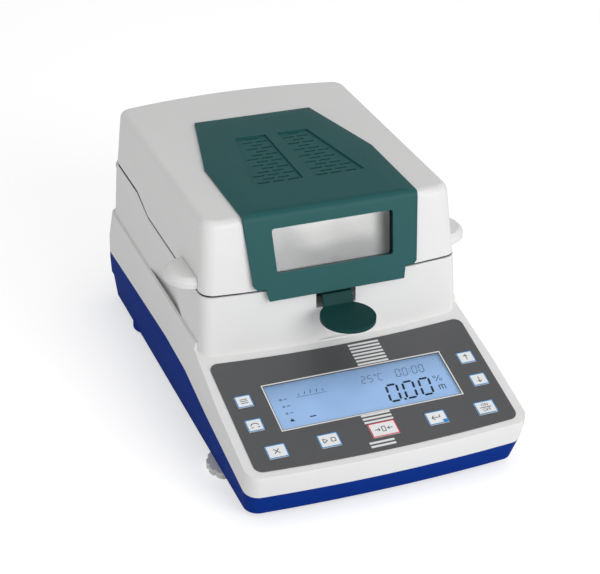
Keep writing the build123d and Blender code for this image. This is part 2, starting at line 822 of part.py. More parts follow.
with BuildPart() as sample_pan:
    with BuildSketch(Plane.XZ.offset(-PAN_Y)):
        with BuildLine():
            Polyline(
                (0, PAN_BOTTOM),
                (PAN_R - 0.6, PAN_BOTTOM),
                (PAN_R, PAN_RIM_Z - PAN_T),
                (PAN_RIM_R, PAN_RIM_Z - PAN_T),
                (PAN_RIM_R, PAN_RIM_Z),
                (PAN_R - PAN_T, PAN_RIM_Z),
                (PAN_R - 0.6 - PAN_T, PAN_BOTTOM + PAN_T),
                (0, PAN_BOTTOM + PAN_T),
                close=True,
            )
        make_face()
    revolve(axis=Axis((0, PAN_Y, 0), (0, 0, 1)))
keep(sample_pan.part, "sample_pan")

with BuildPart() as pan_handler:
    add(disc(0, PAN_Y, HANDLER_TOP - HANDLER_T, HANDLER_TOP, RING_OUT, RING_IN))
    add(disc(0, DISC_Y, DISC_TOP - DISC_T, DISC_TOP, DISC_R))
    # Neck: level from the ring through the notch, then stepped down to the disc
    neck_low = HANDLER_TOP - HANDLER_T
    add(
        side_slab(
            (
                (PAN_Y - RING_IN - 1.0, HANDLER_TOP),
                (-62.6, HANDLER_TOP),
                (-66.0, DISC_TOP),
                (DISC_Y, DISC_TOP),
                (DISC_Y, DISC_TOP - DISC_T),
                (-64.4, DISC_TOP - DISC_T),
                (-60.8, neck_low),
                (PAN_Y - RING_IN - 1.0, neck_low),
            ),
            NECK_HALF_W,
        )
    )
keep(pan_handler.part, "pan_handler")

# Load cell on its foot, with its free end under the pan
with BuildPart() as load_cell:
    add(block(-CELL_W / 2, CELL_W / 2, CELL_FRONT, CELL_BACK, CELL_Z, CELL_Z + CELL_H))
    # Double hole that makes the thin bending places
    with BuildSketch(Plane.YZ):
        with Locations(((CELL_FRONT + CELL_BACK) / 2, CELL_Z + CELL_H / 2)):
            with GridLocations(CELL_HOLE_STEP, 0, 2, 1):
                Circle(CELL_HOLE_R)
            Rectangle(CELL_HOLE_STEP, 7)
    extrude(amount=CELL_W, both=True, mode=Mode.SUBTRACT)
keep(load_cell.part, "load_cell")

with BuildPart() as cell_foot:
    add(block(-CELL_W / 2, CELL_W / 2, CELL_PLINTH_FRONT, CELL_BACK, CELL_PLINTH_TOP, CELL_Z))
keep(cell_foot.part, "cell_foot")

with BuildPart() as main_board:
    add(block(-66, 66, -52, 32, BOARD_Z, BOARD_Z + BOARD_T))
    for x, y in BOARD_POSTS[:2] + BOARD_POSTS[4:6]:
        add(post(x, y, BOARD_Z - 1, BOARD_Z + 3, SCREW_R + 0.15, SCREW_SIDES), mode=Mode.SUBTRACT)
    add(block(-30, -12, -30, -12, BOARD_TOP, BOARD_TOP + 2.0))
    add(block(14, 40, -36, -22, BOARD_TOP, BOARD_TOP + 2.6))
    add(block(30, 60, 6, 14, BOARD_TOP, BOARD_TOP + 8.4))
    with BuildSketch(Plane.XY.offset(BOARD_TOP)):
        with Locations((-50, 18), (-38, 18), (-50, -40)):
            RegularPolygon(4, POST_SIDES)
    extrude(amount=11)
keep(main_board.part, "main_board")

with BuildPart() as power_board:
    add(block(-66, 66, 84, 148, BOARD_Z, BOARD_Z + BOARD_T))
    for x, y in BOARD_POSTS[2:4] + BOARD_POSTS[6:]:
        add(post(x, y, BOARD_Z - 1, BOARD_Z + 3, SCREW_R + 0.15, SCREW_SIDES), mode=Mode.SUBTRACT)
    add(block(-60, -40, 96, 140, BOARD_TOP, 38))
    add(block(-34, -26, 92, 140, BOARD_TOP, 40))
    with BuildSketch(Plane.XY.offset(BOARD_TOP)):
        with Locations((52, 96), (52, 112), (20, 90)):
            RegularPolygon(6.5, POST_SIDES)
    extrude(amount=22)
keep(power_board.part, "power_board")

with BuildPart() as transformer:
    add(block(-14, 36, 104, 138, BOARD_TOP, 46))
    add(block(-20, 42, 110, 132, 20, 42))
keep(transformer.part, "transformer")

# Rear connectors
with BuildPart() as mains_inlet:
    add(rear_block(INLET_X, INLET_W + 3.4, INLET_H + 2.4, RECESS_Y, RECESS_Y + 1.8))
    add(rear_block(INLET_X, INLET_W, INLET_H, 140, RECESS_Y))
    add(rear_block(SOCKET_X, SOCKET_W, SOCKET_H, 148, FAR), mode=Mode.SUBTRACT)
    add(rear_block(DRAWER_X, DRAWER_W + 0.6, DRAWER_H + 0.6, 146, FAR), mode=Mode.SUBTRACT)
keep(mains_inlet.part, "mains_inlet")

with BuildPart() as inlet_pins:
    for x, z in ((-7, -2.4), (7, -2.4), (0, 2.4)):
        add(block(SOCKET_X + x - 1, SOCKET_X + x + 1, 148, 162, INLET_Z + z - 2, INLET_Z + z + 2))
keep(inlet_pins.part, "inlet_pins")

with BuildPart() as fuse_drawer:
    low_z = INLET_Z - DRAWER_H / 2
    add(rear_block(DRAWER_X, DRAWER_W, DRAWER_H, 146.5, RECESS_Y + 1.8))
    add(block(DRAWER_X - 3, DRAWER_X + 3, RECESS_Y + 0.4, 166, low_z, low_z + 3.2), mode=Mode.SUBTRACT)
keep(fuse_drawer.part, "fuse_drawer")

with BuildPart() as data_port:
    add(rear_block(PORT_X, 31.0, 12.4, RECESS_Y, RECESS_Y + 0.8))
    add(rear_block(PORT_X, PORT_W, PORT_H, 152, RECESS_Y))
    add(rear_block(PORT_X, 17.2, 8.8, RECESS_Y, DEPTH / 2))
keep(data_port.part, "data_port")

# Level in the chamber's rim
with BuildPart() as level_case:
    add(disc(LEVEL_X, LEVEL_Y, LEVEL_LOW, TOWER_TOP, LEVEL_R))
    add(disc(LEVEL_X, LEVEL_Y, TOWER_TOP, TOWER_TOP + 0.8, LEVEL_R + LEVEL_RIM))
    add(disc(LEVEL_X, LEVEL_Y, LEVEL_LOW + 2, FAR, LEVEL_R - 1.0), mode=Mode.SUBTRACT)
keep(level_case.part, "level_case")

with BuildPart() as level_vial:
    add(disc(LEVEL_X, LEVEL_Y, LEVEL_LOW + 2, TOWER_TOP + 0.7, LEVEL_R - 1.0))
keep(level_vial.part, "level_vial")

# Feet
for side, name in ((-1, "left_foot"), (1, "right_foot")):
    with BuildPart() as foot:
        x = side * FOOT_X
        with BuildSketch():
            with Locations((x, FOOT_Y)):
                Circle(FOOT_R)
                with PolarLocations(FOOT_R + 1.2, FOOT_NOTCHES):
                    RegularPolygon(FOOT_NOTCH_R, 6, mode=Mode.SUBTRACT)
        extrude(amount=FOOT_WHEEL_H)
        add(disc(x, FOOT_Y, FOOT_WHEEL_H, STUD_TOP, STUD_R))
    keep(foot.part, name)

with BuildPart() as rear_pads:
    for side in (-1, 1):
        add(disc(side * REAR_FOOT_X, REAR_FOOT_Y, 0, PAD_T, PAD_R))
keep(rear_pads.part, "rear_pads")

with BuildPart() as hinge_pins:
    inner, outer = KNUCKLE_IN + 2, CHEEK_OUT - 0.5
    for x0, x1 in ((-outer, -inner), (inner, outer)):
        add(tube_x(PIN_R, x0, x1, HINGE_Y, HINGE_Z))
keep(hinge_pins.part, "hinge_pins")

# Lid
lid_out = lid_form(0, LID_EDGE)
lid_in = lid_form(WALL)

with BuildPart() as lid_shell:
    add(lid_out)
    add(lid_in, mode=Mode.SUBTRACT)
    # Parting line; between the cheeks the rear wall runs on down to the hinge bead
    rear_wall = block(-BEAD_HALF, BEAD_HALF, HINGE_Y - BEAD_R, FAR, HINGE_Z, 130)
    add(parting_slab(LID_GAP) - rear_wall, mode=Mode.SUBTRACT)
    add(tube_x(BEAD_R, -BEAD_HALF, BEAD_HALF, HINGE_Y, HINGE_Z))
    for x0, x1 in ((-BEAD_HALF - 1, -KNUCKLE_IN), (KNUCKLE_IN, BEAD_HALF + 1)):
        add(tube_x(PIN_R + PIN_FIT, x0, x1, HINGE_Y, HINGE_Z), mode=Mode.SUBTRACT)
    # Seat of the cover on the front, opening behind its window and under its grilles
    seat = ((-FAR, LIP_Z - 17), (cover_slope(LIP_Z - 17), LIP_Z - 17), (cover_slope(FAR), FAR), (-FAR, FAR))
    add(side_slab(seat) & face_outline(COVER_SEAT_FIT), mode=Mode.SUBTRACT)
    add(block(-54, 54, -70, -40, 117.5, 159.5), mode=Mode.SUBTRACT)
    add(block(-46, 46, -14, 76, REFLECTOR_TOP, FAR), mode=Mode.SUBTRACT)
    for x, y in COVER_SCREWS:
        add(post(x, y, 155, 170, SCREW_R + 0.15, SCREW_SIDES), mode=Mode.SUBTRACT)
keep(lid_shell.part, "lid_shell")

with BuildPart() as heater_cover:
    # Top plate and front plate in one piece, with a rounded edge between them
    with BuildSketch(Plane.YZ) as profile:
        with BuildLine():
            Polyline(
                (LIP_Y, LIP_Z),
                (LIP_Y + (HEIGHT - LIP_Z) * (FACE_TOP_Y - LIP_Y) / (FACE_TOP_Z - LIP_Z), HEIGHT),
                (COVER_BACK_Y, HEIGHT),
                (COVER_BACK_Y, LID_TOP),
                (COVER_IN_TOP_Y, LID_TOP),
                (COVER_IN_Y, LIP_Z),
                close=True,
            )
        make_face()
        fillet(profile.vertices().group_by(Axis.Y)[-1].sort_by(Axis.X)[0], COVER_EDGE)
    extrude(amount=COVER_HALF_W, both=True)
    add(cover_envelope(), mode=Mode.INTERSECT)
    add(face_outline(0), mode=Mode.INTERSECT)
    # Window
    add(
        face_trapezoid(
            WINDOW_LOW_HALF,
            WINDOW_TOP_HALF,
            up_face(WINDOW_LOW_Z),
            up_face(WINDOW_TOP_Z),
            10,
            -10,
            2.0,
        ),
        mode=Mode.SUBTRACT,
    )
    # Two sunk grille fields with rows of staggered slots
    with BuildSketch(Plane.XY.offset(HEIGHT - GRILLE_DEPTH)):
        for side in (-1, 1):
            with BuildLine():
                Polyline(
                    (side * GRILLE_IN, GRILLE_FRONT),
                    (side * GRILLE_FRONT_HALF, GRILLE_FRONT),
                    (side * GRILLE_BACK_HALF, GRILLE_BACK),
                    (side * GRILLE_IN, GRILLE_BACK),
                    close=True,
                )
            make_face()
    extrude(amount=5, mode=Mode.SUBTRACT)
    slots = []
    narrowing = (GRILLE_FRONT_HALF - GRILLE_BACK_HALF) / (GRILLE_BACK - GRILLE_FRONT)
    for row in range(SLOT_ROWS):
        y = GRILLE_FRONT + 3.0 + SLOT_PITCH_Y * row
        limit = GRILLE_FRONT_HALF - (y - GRILLE_FRONT) * narrowing - 1.5
        x = GRILLE_IN + 2.0 + SLOT_L / 2 + SLOT_PITCH_X / 2 * (row % 2)
        while x + SLOT_L / 2 < limit:
            slots += [(x, y), (-x, y)]
            x += SLOT_PITCH_X
    with BuildSketch(Plane.XY.offset(LID_TOP - 1)):
        with Locations(*slots):
            Rectangle(SLOT_L, SLOT_W)
    extrude(amount=6, mode=Mode.SUBTRACT)
    for x, y in COVER_SCREWS:
        add(post(x, y, 160, LID_TOP + 1.9, SCREW_R, SCREW_SIDES), mode=Mode.SUBTRACT)
keep(heater_cover.part, "heater_cover")

with BuildPart() as cover_screws:
    for x, y in COVER_SCREWS:
        add(post(x, y, LID_TOP - WALL - 1.6, LID_TOP - WALL, 3.0))
        add(post(x, y, LID_TOP - WALL, LID_TOP + 1.8, SCREW_R, SCREW_SIDES))
keep(cover_screws.part, "cover_screws")

# Window pane in its frame behind the cover
pane_low = up_face(WINDOW_LOW_Z) - 2.6
pane_top = up_face(WINDOW_TOP_Z) + 2.6
with BuildPart() as window_glass:
    add(face_trapezoid(WINDOW_LOW_HALF + 2.6, WINDOW_TOP_HALF + 2.6, pane_low, pane_top, -3.1, -5.1, 2.0))
keep(window_glass.part, "window_glass")

with BuildPart() as window_gasket:
    add(
        face_trapezoid(
            WINDOW_LOW_HALF + 6, WINDOW_TOP_HALF + 6, pane_low - 2.0, pane_top + 2.0, -3.1, -6.1, 3.0
        )
    )
    add(window_glass.part, mode=Mode.SUBTRACT)
    add(
        face_trapezoid(
            WINDOW_LOW_HALF, WINDOW_TOP_HALF, pane_low + 2.6, pane_top - 2.6, 5, -10, 2.0
        ),
        mode=Mode.SUBTRACT,
    )
keep(window_gasket.part, "window_gasket")

# Heater inside the lid
with BuildPart() as lid_liner:
    rise = BRIDGE_TOP - TOWER_TOP
    add(
        side_slab(
            (
                (-54, LINER_Z),
                (SLOPE_Y - 0.5, LINER_Z),
                (BRIDGE_Y - 0.5, LINER_Z + rise),
                (152, LINER_Z + rise),
                (152, LINER_Z + LINER_T + rise),
                (BRIDGE_Y - 1, LINER_Z + LINER_T + rise),
                (SLOPE_Y - 1, LINER_Z + LINER_T),
                (-54, LINER_Z + LINER_T),
            ),
            92,
        )
    )
    add(lid_form(WALL + 0.3), mode=Mode.INTERSECT)
    add(block(-62, 62, -38, 54, 110, 120), mode=Mode.SUBTRACT)
keep(lid_liner.part, "lid_liner")

with BuildPart() as guard_glass:
    add(block(-66, 66, -41, 57, GUARD_Z, GUARD_Z + 1.6))
keep(guard_glass.part, "guard_glass")

with BuildPart() as heater_reflector:
    half = REFLECTOR_HALF_W
    sheet = REFLECTOR_T
    add(block(-half, half, REFLECTOR_FRONT, REFLECTOR_BACK, GUARD_Z, REFLECTOR_TOP))
    y0, y1 = REFLECTOR_FRONT + sheet, REFLECTOR_BACK - sheet
    add(block(sheet - half, half - sheet, y0, y1, 110, REFLECTOR_TOP - sheet), mode=Mode.SUBTRACT)
    # Opening behind the window
    add(block(-48, 48, -50, y0 + 3, 121, 147), mode=Mode.SUBTRACT)
keep(heater_reflector.part, "heater_reflector")

with BuildPart() as halogen_lamps:
    for y in LAMP_Y:
        add(tube_x(LAMP_R, -LAMP_HALF, LAMP_HALF, y, LAMP_Z))
keep(halogen_lamps.part, "halogen_lamps")

with BuildPart() as lamp_sockets:
    half = LAMP_SOCKET / 2
    outer = REFLECTOR_HALF_W - REFLECTOR_T
    for y in LAMP_Y:
        for x0, x1 in ((-outer, -SOCKET_IN), (SOCKET_IN, outer)):
            add(block(x0, x1, y - half, y + half, LAMP_Z - half, LAMP_Z + half))
        add(tube_x(LAMP_R + PIN_FIT, -LAMP_HALF, LAMP_HALF, y, LAMP_Z), mode=Mode.SUBTRACT)
keep(lamp_sockets.part, "lamp_sockets")

with BuildPart() as temperature_sensor:
    add(post(0, 7, 124, REFLECTOR_TOP - REFLECTOR_T, 1.5))
    add(post(0, 7, 121, 124, 3.0))
keep(temperature_sensor.part, "temperature_sensor")

with BuildPart() as lid_magnet:
    add(post(60, -49, LINER_Z - 1.1, LINER_Z, 3.0))
keep(lid_magnet.part, "lid_magnet")

for side, name in ((-1, "left_grip"), (1, "right_grip")):
    with BuildPart() as grip:
        add(disc(side * GRIP_ROOT_X, GRIP_Y, GRIP_LOW, GRIP_LOW + GRIP_T, GRIP_R))
        chamfer(grip.edges().group_by(Axis.Z)[-1], GRIP_EDGE)
        add(lid_out, mode=Mode.SUBTRACT)
    keep(grip.part, name)

# Small parts of the base
with BuildPart() as lid_sensor:
    add(block(54, 66, -53.2, -47.5, 103, TOWER_TOP - WALL))
keep(lid_sensor.part, "lid_sensor")

with BuildPart() as lid_buffers:
    for x in (-82, 82):
        for y in (-20, 50):
            add(post(x, y, TOWER_TOP, LINER_Z - 0.1, 3.5))
keep(lid_buffers.part, "lid_buffers")

with BuildPart() as board_screws:
    for x, y in BOARD_POSTS:
        add(post(x, y, BOARD_Z - 5, BOARD_TOP, SCREW_R, SCREW_SIDES))
        add(post(x, y, BOARD_TOP, BOARD_TOP + 1.6, 2.5))
keep(board_screws.part, "board_screws")

with BuildPart() as casing_screws:
    for x, y in CASING_POSTS:
        add(post(x, y, CASING_SEAT - 3.0, CASING_SEAT, CASING_HEAD_R))
        add(post(x, y, CASING_SEAT, COLUMN_LOW + 15, CASING_SCREW_R, SCREW_SIDES))
keep(casing_screws.part, "casing_screws")

print(len(built), "pieces")
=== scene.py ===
"""Looks of the moisture analyzer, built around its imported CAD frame.

Metres, in the CAD's own axes: +X is the object's right, +Y its back, +Z up.
"""

import bmesh
import bpy
import json
from math import atan, cos, pi, radians, sin
from mathutils import Matrix, Vector

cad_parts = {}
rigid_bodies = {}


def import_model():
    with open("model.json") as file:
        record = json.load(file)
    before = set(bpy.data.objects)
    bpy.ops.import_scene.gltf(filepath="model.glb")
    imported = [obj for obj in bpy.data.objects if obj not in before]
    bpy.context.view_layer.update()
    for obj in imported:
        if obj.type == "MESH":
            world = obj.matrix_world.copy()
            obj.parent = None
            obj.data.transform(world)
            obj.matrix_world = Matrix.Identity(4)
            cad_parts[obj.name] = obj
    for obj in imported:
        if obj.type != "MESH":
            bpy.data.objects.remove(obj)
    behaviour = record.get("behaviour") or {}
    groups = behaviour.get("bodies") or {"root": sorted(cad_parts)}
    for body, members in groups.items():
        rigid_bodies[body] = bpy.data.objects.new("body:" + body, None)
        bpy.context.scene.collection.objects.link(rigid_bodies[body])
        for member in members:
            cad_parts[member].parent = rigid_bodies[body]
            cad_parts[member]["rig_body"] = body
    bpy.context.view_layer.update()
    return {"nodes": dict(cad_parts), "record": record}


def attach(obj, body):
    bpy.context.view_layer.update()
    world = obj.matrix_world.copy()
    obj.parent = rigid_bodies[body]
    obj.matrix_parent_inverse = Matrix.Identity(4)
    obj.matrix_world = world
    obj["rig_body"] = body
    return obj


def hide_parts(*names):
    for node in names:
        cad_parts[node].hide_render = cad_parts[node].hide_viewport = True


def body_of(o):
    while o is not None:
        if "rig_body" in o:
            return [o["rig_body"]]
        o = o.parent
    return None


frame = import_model()

MM = 0.001

# The keyboard deck's plane: its front edge, its slope and its normal
DECK_Y = -160.1
DECK_Z = 42.2
DECK_ANGLE = atan(0.2613)

# Front and rear edge of the display, heights of the print over the deck and of the digits in it
DISPLAY_FRONT = -131.2
DISPLAY_BACK = -92.9
PRINT_LOW = 0.01
PRINT_HIGH = 0.05
DIGITS_DOWN = -2.35
KEY_LOW = 0.28
SIGN_HIGH = 0.35
RIM_HIGH = 0.36

# Rim of the chamber tower under the lid: half width, front, bow, corner and the rising line
RIM_HALF_W = 94.9
RIM_FRONT = -52.9
RIM_BOW = 5.5
RIM_CORNER = 9.0
RIM_LINE = ((70.0, 112.0), (99.0, 119.5), (149.0, 119.5))
NOTCH_HALF_W = 17.5
# Section of the black strip that paints the parting gap's shade: outer and inner inset, foot and top
SHADE_STRIP_OUT = 0.45
SHADE_STRIP_IN = 2.4
SHADE_STRIP_DOWN = -0.6
SHADE_STRIP_UP = 0.95
RIM_STEPS = 8


# Node materials


def new_material(name):
    """Empty node material with its shader and output."""
    mat = bpy.data.materials.new(name)
    mat.use_nodes = True
    nodes = mat.node_tree.nodes
    nodes.clear()
    out = nodes.new("ShaderNodeOutputMaterial")
    shader = nodes.new("ShaderNodeBsdfPrincipled")
    mat.node_tree.links.new(shader.outputs["BSDF"], out.inputs["Surface"])
    return mat, nodes, mat.node_tree.links, shader


def object_coords(nodes):
    """Socket with the piece's own coordinates in metres."""
    return nodes.new("ShaderNodeTexCoord").outputs["Object"]


def noise(nodes, links, scale, detail=3.0, roughness=0.5, stretch=None):
    """Noise texture in object coordinates."""
    texture = nodes.new("ShaderNodeTexNoise")
    texture.inputs["Scale"].default_value = scale
    texture.inputs["Detail"].default_value = detail
    texture.inputs["Roughness"].default_value = roughness
    coords = object_coords(nodes)
    if stretch:
        mapping = nodes.new("ShaderNodeMapping")
        mapping.inputs["Scale"].default_value = stretch
        links.new(coords, mapping.inputs["Vector"])
        coords = mapping.outputs["Vector"]
    links.new(coords, texture.inputs["Vector"])
    return texture.outputs["Fac"]


def spread(nodes, links, value, low, high, from_low=0.3, from_high=0.7):
    """Map a noise value to a range."""
    node = nodes.new("ShaderNodeMapRange")
    node.inputs["From Min"].default_value = from_low
    node.inputs["From Max"].default_value = from_high
    node.inputs["To Min"].default_value = low
    node.inputs["To Max"].default_value = high
    links.new(value, node.inputs["Value"])
    return node.outputs["Result"]


def two_tone(nodes, links, value, dark, light):
    """Colour that wanders between two tones with a noise value."""
    ramp = nodes.new("ShaderNodeValToRGB")
    ramp.color_ramp.elements[0].position = 0.3
    ramp.color_ramp.elements[0].color = (*dark, 1)
    ramp.color_ramp.elements[1].position = 0.7
    ramp.color_ramp.elements[1].color = (*light, 1)
    links.new(value, ramp.inputs["Fac"])
    return ramp.outputs["Color"]


def add_bump(nodes, links, shader, height, strength, distance):
    """Bump from a height value."""
    bump = nodes.new("ShaderNodeBump")
    bump.inputs["Strength"].default_value = strength
    bump.inputs["Distance"].default_value = distance
    links.new(height, bump.inputs["Height"])
    links.new(bump.outputs["Normal"], shader.inputs["Normal"])


def plastic(name, colour, roughness=0.45, grain=1800.0, bump=0.12, wander=0.03, gloss=0.5):
    """Moulded plastic: fine spark-eroded grain, slight tone drift and uneven gloss."""
    mat, nodes, links, shader = new_material(name)
    drift = noise(nodes, links, 18.0)
    dark = tuple(c * (1 - wander) for c in colour)
    light = tuple(min(1.0, c * (1 + wander)) for c in colour)
    links.new(two_tone(nodes, links, drift, dark, light), shader.inputs["Base Color"])
    fine = noise(nodes, links, grain, detail=2.0)
    links.new(spread(nodes, links, fine, roughness - 0.06, roughness + 0.06), shader.inputs["Roughness"])
    add_bump(nodes, links, shader, fine, bump, 0.00006)
    shader.inputs["Specular IOR Level"].default_value = gloss
    return mat


def metal(name, colour, roughness=0.3, stretch=(1.0, 1.0, 1.0), grain=900.0):
    """Metal with fine brushing along one direction."""
    mat, nodes, links, shader = new_material(name)
    shader.inputs["Metallic"].default_value = 1.0
    brushed = noise(nodes, links, grain, detail=4.0, stretch=stretch)
    dark = tuple(c * 0.86 for c in colour)
    links.new(two_tone(nodes, links, brushed, dark, colour), shader.inputs["Base Color"])
    links.new(spread(nodes, links, brushed, roughness - 0.08, roughness + 0.1), shader.inputs["Roughness"])
    add_bump(nodes, links, shader, brushed, 0.15, 0.00004)
    return mat


def clear(name, colour, roughness=0.03, ior=1.45):
    """Glass with a faint unevenness of its surface."""
    mat, nodes, links, shader = new_material(name)
    haze = noise(nodes, links, 60.0)
    tint = tuple(c * 0.97 for c in colour)
    links.new(two_tone(nodes, links, haze, tint, colour), shader.inputs["Base Color"])
    links.new(spread(nodes, links, haze, roughness * 0.6, roughness * 1.6), shader.inputs["Roughness"])
    shader.inputs["Transmission Weight"].default_value = 1.0
    shader.inputs["IOR"].default_value = ior
    return mat


def share_along(nodes, links, axis, start, end):
    """Value that rises smoothly from 0 to 1 between two places across the piece's own box."""
    split = nodes.new("ShaderNodeSeparateXYZ")
    links.new(nodes.new("ShaderNodeTexCoord").outputs["Generated"], split.inputs["Vector"])
    node = nodes.new("ShaderNodeMapRange")
    node.interpolation_type = "SMOOTHSTEP"
    node.inputs["From Min"].default_value = start
    node.inputs["From Max"].default_value = end
    links.new(split.outputs[axis], node.inputs["Value"])
    return node.outputs["Result"]


def blend(nodes, links, share, first, second):
    """Colour between two others; each is a tuple or a socket."""
    mix = nodes.new("ShaderNodeMix")
    mix.data_type = "RGBA"
    links.new(share, mix.inputs["Factor"])
    for colour, socket in ((first, mix.inputs[6]), (second, mix.inputs[7])):
        if isinstance(colour, tuple):
            socket.default_value = (*colour, 1)
        else:
            links.new(colour, socket)
    return mix.outputs[2]


def reflection_painted_pane(name, low, high, edge):
    """Heat-reflecting pane with a silvery coat; its colour holds a painted reflection, darker towards its
    foot and its left end, and painted shade at its right end.
    """
    mat, nodes, links, shader = new_material(name)
    rise = share_along(nodes, links, "Z", 0.30, 0.62)
    near = share_along(nodes, links, "X", 0.0, 0.35)
    end = share_along(nodes, links, "X", 0.80, 0.93)
    # Painted reflection: lighter up the pane and away from its left end
    painted_reflection = blend(nodes, links, rise, low, blend(nodes, links, near, low, high))
    # Painted shade: the edge colour darkens the right end like the shaded side of the opening
    links.new(blend(nodes, links, end, painted_reflection, edge), shader.inputs["Base Color"])
    haze = noise(nodes, links, 40.0)
    links.new(spread(nodes, links, haze, 0.16, 0.24), shader.inputs["Roughness"])
    shader.inputs["Transmission Weight"].default_value = 1.0
    shader.inputs["Metallic"].default_value = 0.72
    return mat


def backlit_with_painted_shade(name, colour, glow, strength):
    """Display face lit from behind, with painted shade darkening its colour and glow towards its upper edge.
    """
    mat, nodes, links, shader = new_material(name)
    # Painted shade: colour and glow drop towards the upper edge
    painted_shade_share = share_along(nodes, links, "Y", 0.40, 1.0)
    links.new(blend(nodes, links, painted_shade_share, colour, tuple(c * 0.8 for c in colour)), shader.inputs["Base Color"])
    links.new(blend(nodes, links, painted_shade_share, glow, tuple(c * 0.72 for c in glow)), shader.inputs["Emission Color"])
    shader.inputs["Emission Strength"].default_value = strength
    links.new(spread(nodes, links, noise(nodes, links, 14.0), 0.3, 0.42), shader.inputs["Roughness"])
    return mat


LIGHT_SHELL = plastic("light_shell", (0.80, 0.80, 0.795), 0.42, wander=0.012)
BLUE_SHELL = plastic("blue_shell", (0.003, 0.030, 0.235), 0.5, gloss=0.02)
TEAL = plastic("teal_lacquer", (0.015, 0.094, 0.096), 0.44, grain=1400.0, bump=0.25, gloss=0.18)
OVERLAY = plastic("overlay_film", (0.082, 0.083, 0.087), 0.42, grain=2600.0, bump=0.1)
HANDLER = plastic("handler_plastic", (0.009, 0.052, 0.050), 0.5, wander=0.06, gloss=0.1)
DARK = plastic("dark_liner", (0.10, 0.10, 0.105), 0.5)
BLACK = plastic("black_plastic", (0.018, 0.018, 0.02), 0.4)
RUBBER = plastic("rubber", (0.02, 0.02, 0.021), 0.7, grain=900.0, bump=0.3)
BOARD = plastic("board", (0.02, 0.12, 0.05), 0.35, wander=0.1)
WINDING = plastic("winding", (0.28, 0.12, 0.04), 0.4, wander=0.2)
CERAMIC = plastic("ceramic", (0.78, 0.76, 0.70), 0.35)
FOOT = plastic("foot_plastic", (0.74, 0.74, 0.72), 0.5)
KEY = plastic("key_film", (0.86, 0.87, 0.88), 0.4, grain=2600.0, bump=0.06)
STEEL = metal("steel", (0.62, 0.62, 0.61), 0.3, stretch=(1.0, 12.0, 12.0))
ALUMINIUM = metal("aluminium", (0.85, 0.85, 0.86), 0.35, stretch=(1.0, 1.0, 1.0))
GLASS = clear("plain_glass", (0.97, 0.99, 0.985))
# Window colours: painted reflection low and high, then painted shade for the right end
WINDOW = reflection_painted_pane("window_glass", (0.38, 0.39, 0.39), (0.47, 0.47, 0.465), (0.06, 0.065, 0.065))
PANE = clear("display_pane", (0.98, 0.99, 1.0), 0.10, ior=1.18)
QUARTZ = clear("quartz", (0.98, 0.98, 0.97), 0.08)
VIAL = clear("level_liquid", (0.75, 0.9, 0.2))
LCD = backlit_with_painted_shade("display_face", (0.22, 0.37, 0.62), (0.33, 0.50, 0.76), 0.5)

NODE_MATERIALS = {
    LIGHT_SHELL: ("upper_housing", "lid_shell", "left_grip", "right_grip"),
    BLUE_SHELL: ("base_tray",),
    TEAL: ("heater_cover",),
    OVERLAY: ("panel_overlay",),
    HANDLER: ("pan_handler",),
    DARK: ("chamber_tub", "lid_liner"),
    BLACK: ("key_switches", "mains_inlet", "level_case", "lid_sensor", "fuse_drawer"),
    RUBBER: ("rear_pads", "lid_buffers", "window_gasket"),
    BOARD: ("display_board", "main_board", "power_board"),
    WINDING: ("transformer",),
    CERAMIC: ("lamp_sockets",),
    FOOT: ("left_foot", "right_foot"),
    STEEL: (
        "draft_shield",
        "inlet_pins",
        "data_port",
        "hinge_pins",
        "board_screws",
        "casing_screws",
        "cover_screws",
        "heater_reflector",
        "temperature_sensor",
        "lid_magnet",
        "pan_support",
    ),
    ALUMINIUM: ("load_cell", "cell_foot", "sample_pan"),
    GLASS: ("guard_glass",),
    WINDOW: ("window_glass",),
    PANE: ("display_window",),
    QUARTZ: ("halogen_lamps",),
    VIAL: ("level_vial",),
    LCD: ("display_module",),
    KEY: (
        "menu_key",
        "program_key",
        "escape_key",
        "start_stop_key",
        "tare_key",
        "enter_key",
        "on_off_key",
        "up_key",
        "down_key",
    ),
}

for material, names in NODE_MATERIALS.items():
    for name in names:
        mesh = frame["nodes"][name].data
        mesh.materials.clear()
        mesh.materials.append(material)


# Building blocks for the pieces


def deck_frame(up=0.0):
    """Frame on the keyboard deck: local X to the right, local Y up the slope, local Z off it."""
    across = Vector((1, 0, 0))
    along = Vector((0, cos(DECK_ANGLE), sin(DECK_ANGLE)))
    off = across.cross(along)
    turn = Matrix((across, along, off)).transposed().to_4x4()
    origin = (Vector((0, DECK_Y, DECK_Z)) + off * up) * MM
    return Matrix.Translation(origin) @ turn


def up_slope(y):
    """Distance up the deck's slope of a point with this y, in millimetres."""
    return (y - DECK_Y) / cos(DECK_ANGLE)


def place(name, bm, material, body, matrix=None, slot=None):
    """Turn a bmesh in metres into a piece that rides on a body."""
    mesh = bpy.data.meshes.new(name)
    bm.to_mesh(mesh)
    bm.free()
    mesh.materials.append(material)
    obj = bpy.data.objects.new(name, mesh)
    bpy.context.collection.objects.link(obj)
    if matrix:
        obj.matrix_world = matrix
    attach(obj, body)
    return obj


def add_prism(bm, points, z0, z1):
    """Add a closed prism on a polygon, all in millimetres."""
    low = [bm.verts.new((x * MM, y * MM, z0 * MM)) for x, y in points]
    high = [bm.verts.new((x * MM, y * MM, z1 * MM)) for x, y in points]
    bm.faces.new(list(reversed(low)))
    bm.faces.new(high)
    count = len(points)
    for i in range(count):
        j = (i + 1) % count
        bm.faces.new((low[i], low[j], high[j], high[i]))


